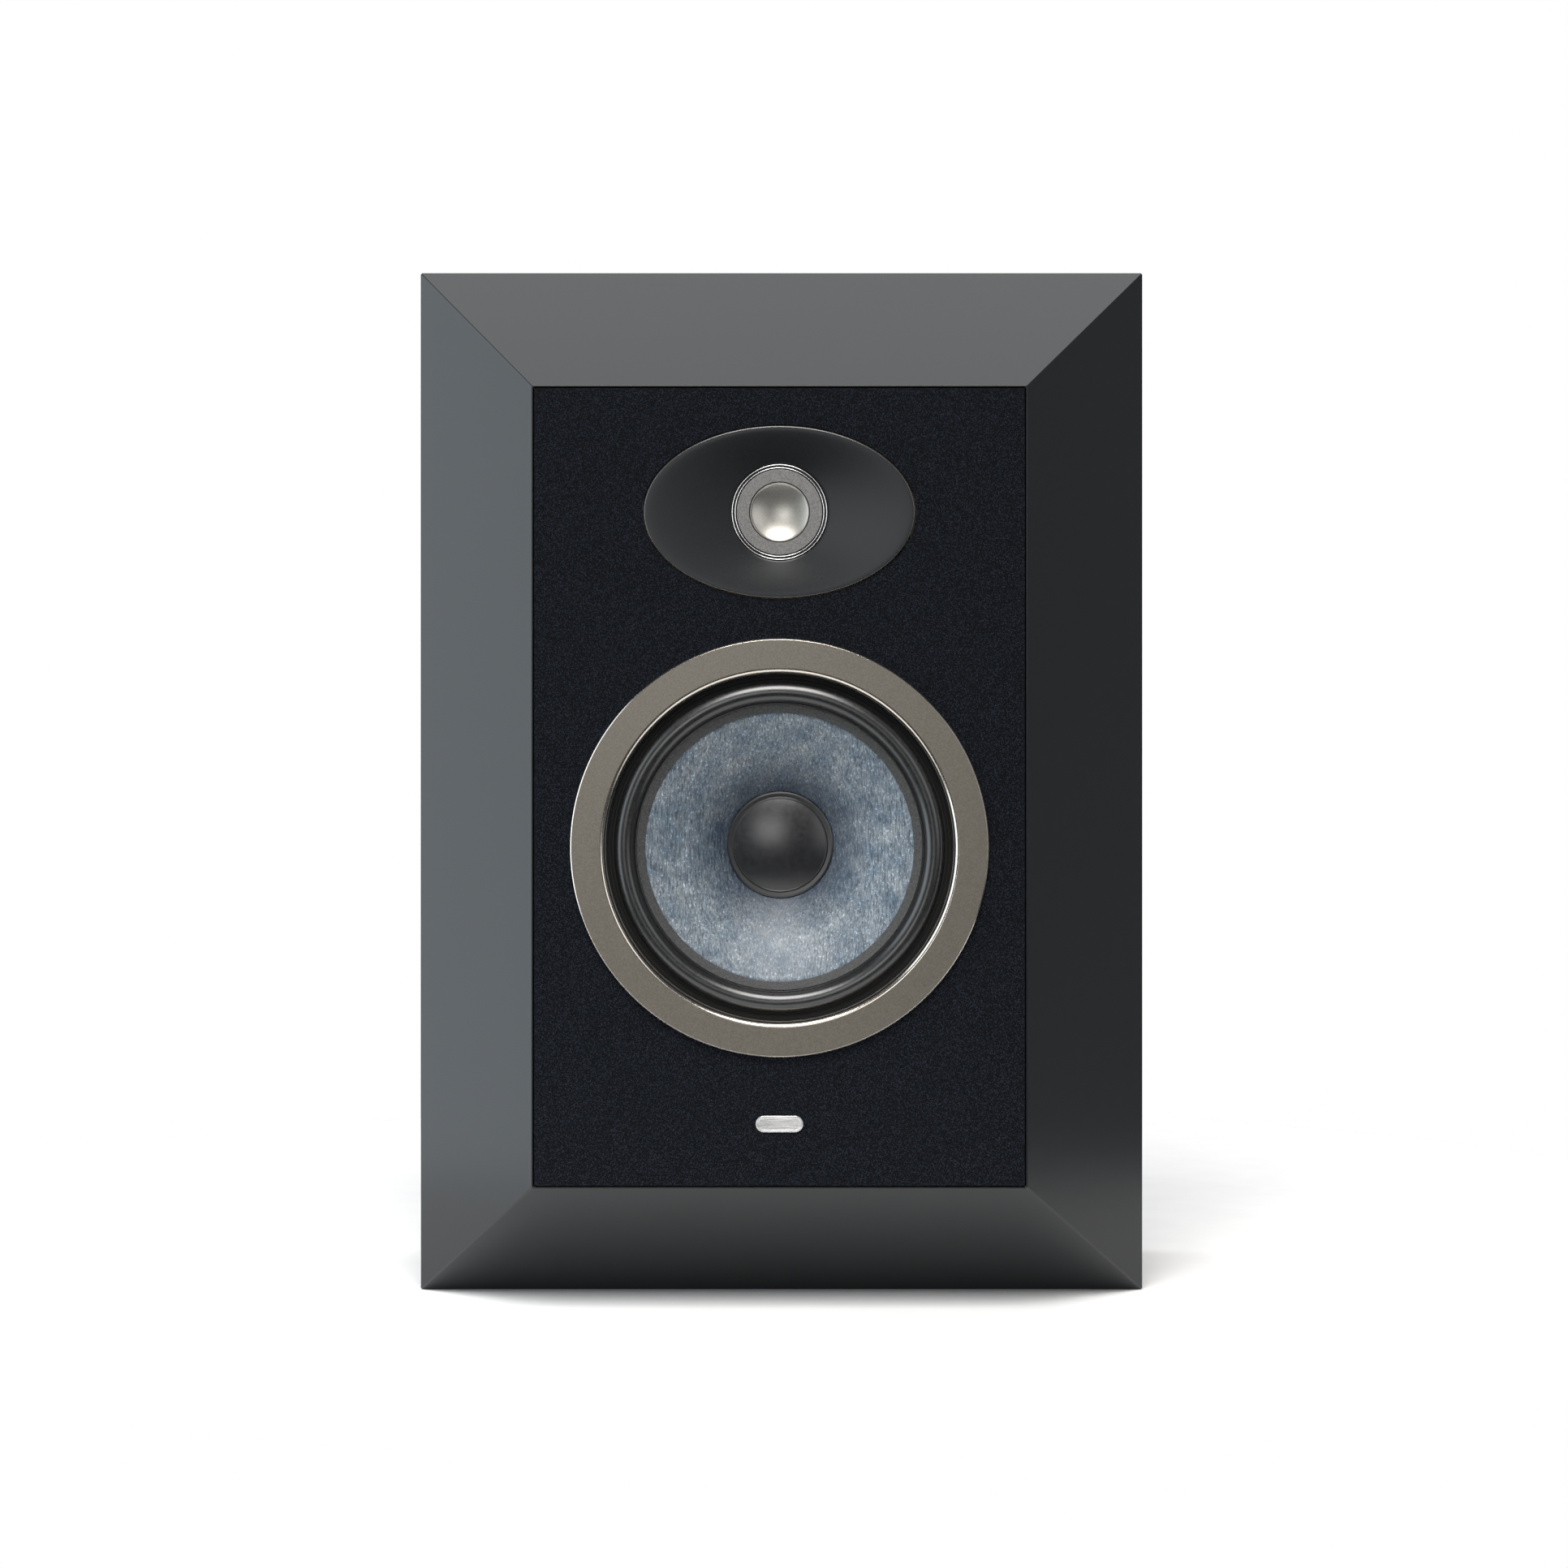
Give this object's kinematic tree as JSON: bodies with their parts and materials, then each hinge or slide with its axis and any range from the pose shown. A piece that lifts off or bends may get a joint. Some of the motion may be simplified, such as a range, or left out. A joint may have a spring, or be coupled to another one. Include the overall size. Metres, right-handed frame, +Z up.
{
  "type": "bookshelf speaker",
  "caption": "Two-way box speaker with a bevelled front, round woofer below an oval tweeter plate, and screw-down terminals in a rear cup.",
  "frame": {"origin": "middle of the base's underside", "axes": "+Z up, the front with the drivers faces -Y, +X to the right seen from the front"},
  "size_m": [0.316, 0.1805, 0.445],
  "materials": {
    "lacquer": "satin charcoal lacquer over fibreboard",
    "raw_board": "raw fibreboard",
    "back_board": "black paint over fibreboard",
    "face_skin": "fine-textured navy black",
    "badge_metal": "brushed",
    "black_screws": "black oxide",
    "zinc_screws": "zinc plate",
    "wadding": "white polyester fibre",
    "ring_metal": "satin taupe",
    "basket_metal": "black cast alloy",
    "foam": "closed-cell foam",
    "surround_rubber": "satin butyl rubber",
    "cone_pulp": "mottled blue-grey pulp and fibre",
    "cap_black": "satin black",
    "former_metal": "plain",
    "copper": "enamelled copper wire",
    "spider_cloth": "resin-set cotton",
    "steel": "zinc plate",
    "ferrite": "ground ferrite",
    "terminal_board": "laminate with tin tabs",
    "lead_wire": "woven tinsel",
    "faceplate_black": "satin black",
    "bright_ring": "polished",
    "front_ring_grey": "fine-grained grey",
    "dome_metal": "satin",
    "hanger_cloth": "doped cloth",
    "black_plastic": "moulded, fine texture",
    "board_green": "solder-resist green",
    "film_cap": "yellow film wrap",
    "cement": "white ceramic",
    "cable_jacket": "grey vinyl",
    "gold_plate": "gold plate",
    "knob_red": "red cap",
    "knob_black": "black cap"
  },
  "bodies": {
    "cabinet": {"back_panel": "back_board", "back_panel_screws": "black_screws", "badge_plate": "badge_metal", "baffle": "raw_board", "baffle_skin": "face_skin", "base_panel": "lacquer", "base_slope": "lacquer", "binding_posts": "gold_plate", "board_fixings": "zinc_screws", "capacitors": "film_cap", "coil_spools": "black_plastic", "coil_windings": "copper", "corner_blocks": "raw_board", "crossover_board": "board_green", "cup_screws": "black_screws", "damping_wadding": "wadding", "faceplate_screws": "zinc_screws", "input_cable": "cable_jacket", "left_panel": "lacquer", "left_slope": "lacquer", "post_collars": "black_plastic", "post_nuts": "gold_plate", "resistors": "cement", "right_panel": "lacquer", "right_slope": "lacquer", "shelf_brace": "raw_board", "terminal_cup": "black_plastic", "top_panel": "lacquer", "top_slope": "lacquer", "tweeter_cable": "cable_jacket", "tweeter_chrome_ring": "bright_ring", "tweeter_faceplate": "faceplate_black", "tweeter_front_ring": "front_ring_grey", "tweeter_magnet": "ferrite", "tweeter_rear_cap": "black_plastic", "tweeter_suspension": "hanger_cloth", "tweeter_top_plate": "steel", "tweeter_yoke": "steel", "woofer_basket": "basket_metal", "woofer_cable": "cable_jacket", "woofer_gasket": "foam", "woofer_leads": "lead_wire", "woofer_magnet": "ferrite", "woofer_screws": "zinc_screws", "woofer_spider": "spider_cloth", "woofer_surround": "surround_rubber", "woofer_terminals": "terminal_board", "woofer_top_plate": "steel", "woofer_trim_ring": "ring_metal", "woofer_yoke": "steel"},
    "woofer_cone_body": {"woofer_cone": "cone_pulp", "woofer_dust_cap": "cap_black", "woofer_former": "former_metal", "woofer_coil": "copper"},
    "tweeter_dome_body": {"tweeter_dome": "dome_metal", "tweeter_coil": "copper"},
    "red_washer_body": {"red_washer": "gold_plate"},
    "red_knob_body": {"red_knob": "knob_red"},
    "black_washer_body": {"black_washer": "gold_plate"},
    "black_knob_body": {"black_knob": "knob_black"}
  },
  "joints": [
    {"name": "woofer_stroke", "type": "slide", "parent": "cabinet", "child": "woofer_cone_body", "axis": [0, 1, 0], "range_m": [-0.005, 0.005], "stiffness_N_per_m": 1100, "deforming": ["woofer_surround", "woofer_spider", "woofer_leads"]},
    {"name": "tweeter_stroke", "type": "slide", "parent": "cabinet", "child": "tweeter_dome_body", "axis": [0, 1, 0], "range_m": [-0.0004, 0.0004], "stiffness_N_per_m": 1500, "deforming": ["tweeter_suspension"]},
    {"name": "red_clamp_slide", "type": "slide", "parent": "cabinet", "child": "red_washer_body", "axis": [0, 1, 0], "range_m": [0, 0.004]},
    {"name": "red_knob_turn", "type": "hinge", "parent": "red_washer_body", "child": "red_knob_body", "pos_m": [0.0095, 0.039, 0.1], "axis": [0, 1, 0], "range_deg": [0, 1440]},
    {"name": "black_clamp_slide", "type": "slide", "parent": "cabinet", "child": "black_washer_body", "axis": [0, 1, 0], "range_m": [0, 0.004]},
    {"name": "black_knob_turn", "type": "hinge", "parent": "black_washer_body", "child": "black_knob_body", "pos_m": [-0.0095, 0.039, 0.1], "axis": [0, 1, 0], "range_deg": [0, 1440]}
  ],
  "couplings": [
    {"joint": "red_knob_turn", "follows": "red_clamp_slide", "rad_per_m": 6283},
    {"joint": "black_knob_turn", "follows": "black_clamp_slide", "rad_per_m": 6283}
  ]
}
